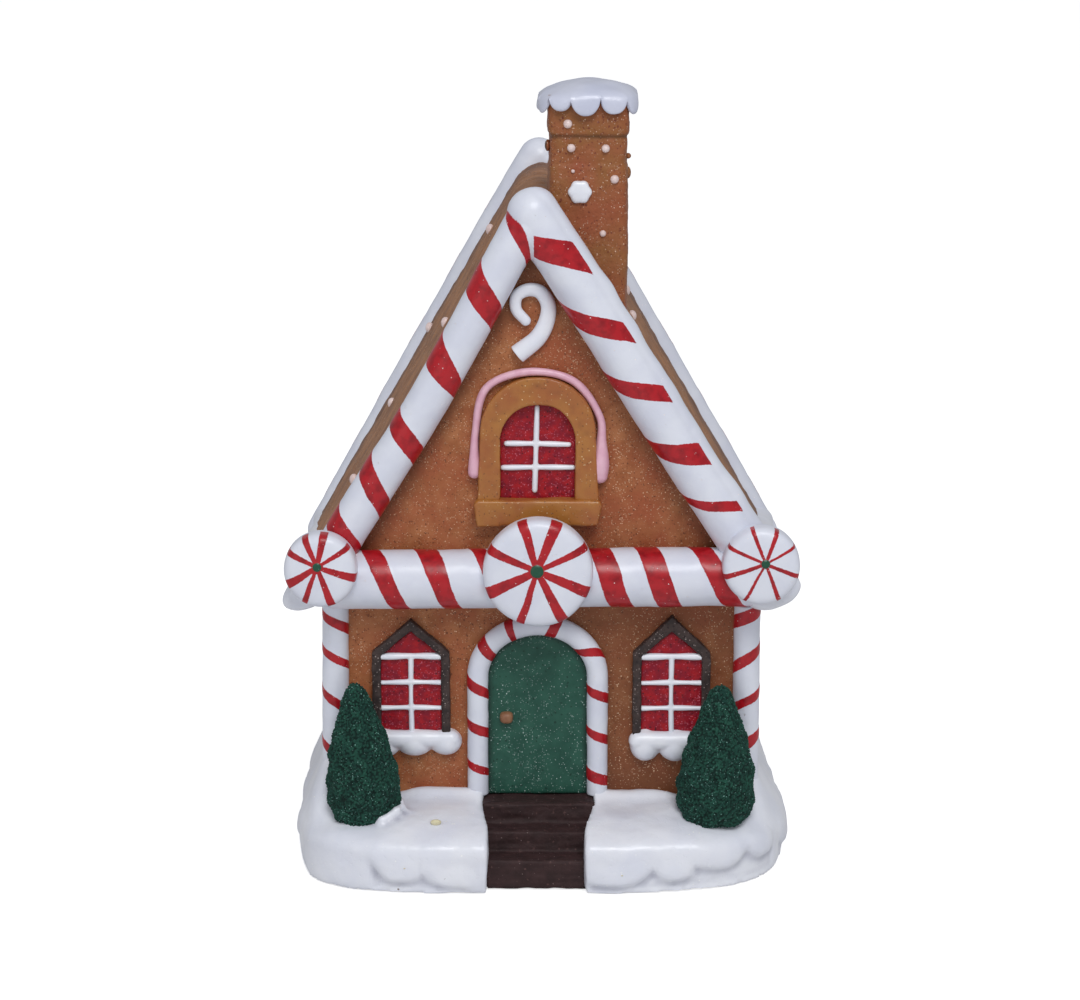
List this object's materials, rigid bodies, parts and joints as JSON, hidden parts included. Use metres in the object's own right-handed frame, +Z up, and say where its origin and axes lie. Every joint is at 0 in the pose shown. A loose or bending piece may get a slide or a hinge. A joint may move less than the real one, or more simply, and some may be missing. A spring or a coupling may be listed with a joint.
{
  "type": "gingerbread house figurine",
  "caption": "Decorative gingerbread house with a steep gable roof, candy cane trim, arched door, snowy windows and a chimney, standing in a moulded snow base.",
  "frame": {"origin": "middle of the flat underside of the snow base, on the surface it stands on", "axes": "+Z up along the gable and chimney, the front with the door faces -Y, +X is to the right when the front is looked at"},
  "size_m": [0.1512, 0.135, 0.2315],
  "materials": {
    "gingerbread": "brown biscuit-look resin with fine glitter",
    "biscuit": "golden brown biscuit-look resin, satin",
    "icing": "white icing-look resin, glossy",
    "snow": "white snow-look resin, lumpy and glossy",
    "candy": "glossy white with slanted red stripes and fine glitter",
    "red_glitter": "red glitter in clear lacquer",
    "green_glitter": "dark green glitter",
    "foliage": "dark green flocked foam with fine glitter",
    "chocolate": "dark chocolate-look resin, rough",
    "pink_icing": "pale pink icing-look resin, glossy"
  },
  "bodies": {
    "root": {"snow_base": "snow", "steps": "chocolate", "tree_left": "foliage", "tree_right": "foliage", "house_body": "gingerbread", "roof_left": "gingerbread", "roof_right": "gingerbread", "eave_snow_left": "snow", "eave_snow_right": "snow", "corner_cane_front_left": "candy", "corner_cane_front_right": "candy", "corner_cane_back_left": "candy", "corner_cane_back_right": "candy", "chimney": "gingerbread", "chimney_button": "icing", "chimney_snow": "snow", "gable_cane_front_left": "candy", "gable_cane_front_right": "candy", "gable_cane_back_left": "candy", "gable_cane_back_right": "candy", "eave_cane_front": "candy", "eave_cane_back": "candy", "mint_front_centre": "candy", "mint_front_left": "candy", "mint_front_right": "candy", "mint_back_centre": "candy", "window_left_frame": "chocolate", "window_left_pane": "red_glitter", "window_left_bars": "icing", "window_left_snow": "icing", "window_right_frame": "chocolate", "window_right_pane": "red_glitter", "window_right_bars": "icing", "window_right_snow": "icing", "window_back_frame": "chocolate", "window_back_pane": "red_glitter", "window_back_bars": "icing", "window_back_snow": "icing", "window_side_left_frame": "chocolate", "window_side_left_pane": "red_glitter", "window_side_left_bars": "icing", "window_side_left_snow": "icing", "window_side_right_frame": "chocolate", "window_side_right_pane": "red_glitter", "window_side_right_bars": "icing", "window_side_right_snow": "icing", "door": "green_glitter", "door_knob": "biscuit", "door_cane": "candy", "icing_hook": "icing", "upper_frame": "biscuit", "upper_ledge": "biscuit", "upper_pane": "red_glitter", "upper_bars": "icing", "pink_icing": "pink_icing"}
  },
  "joints": []
}
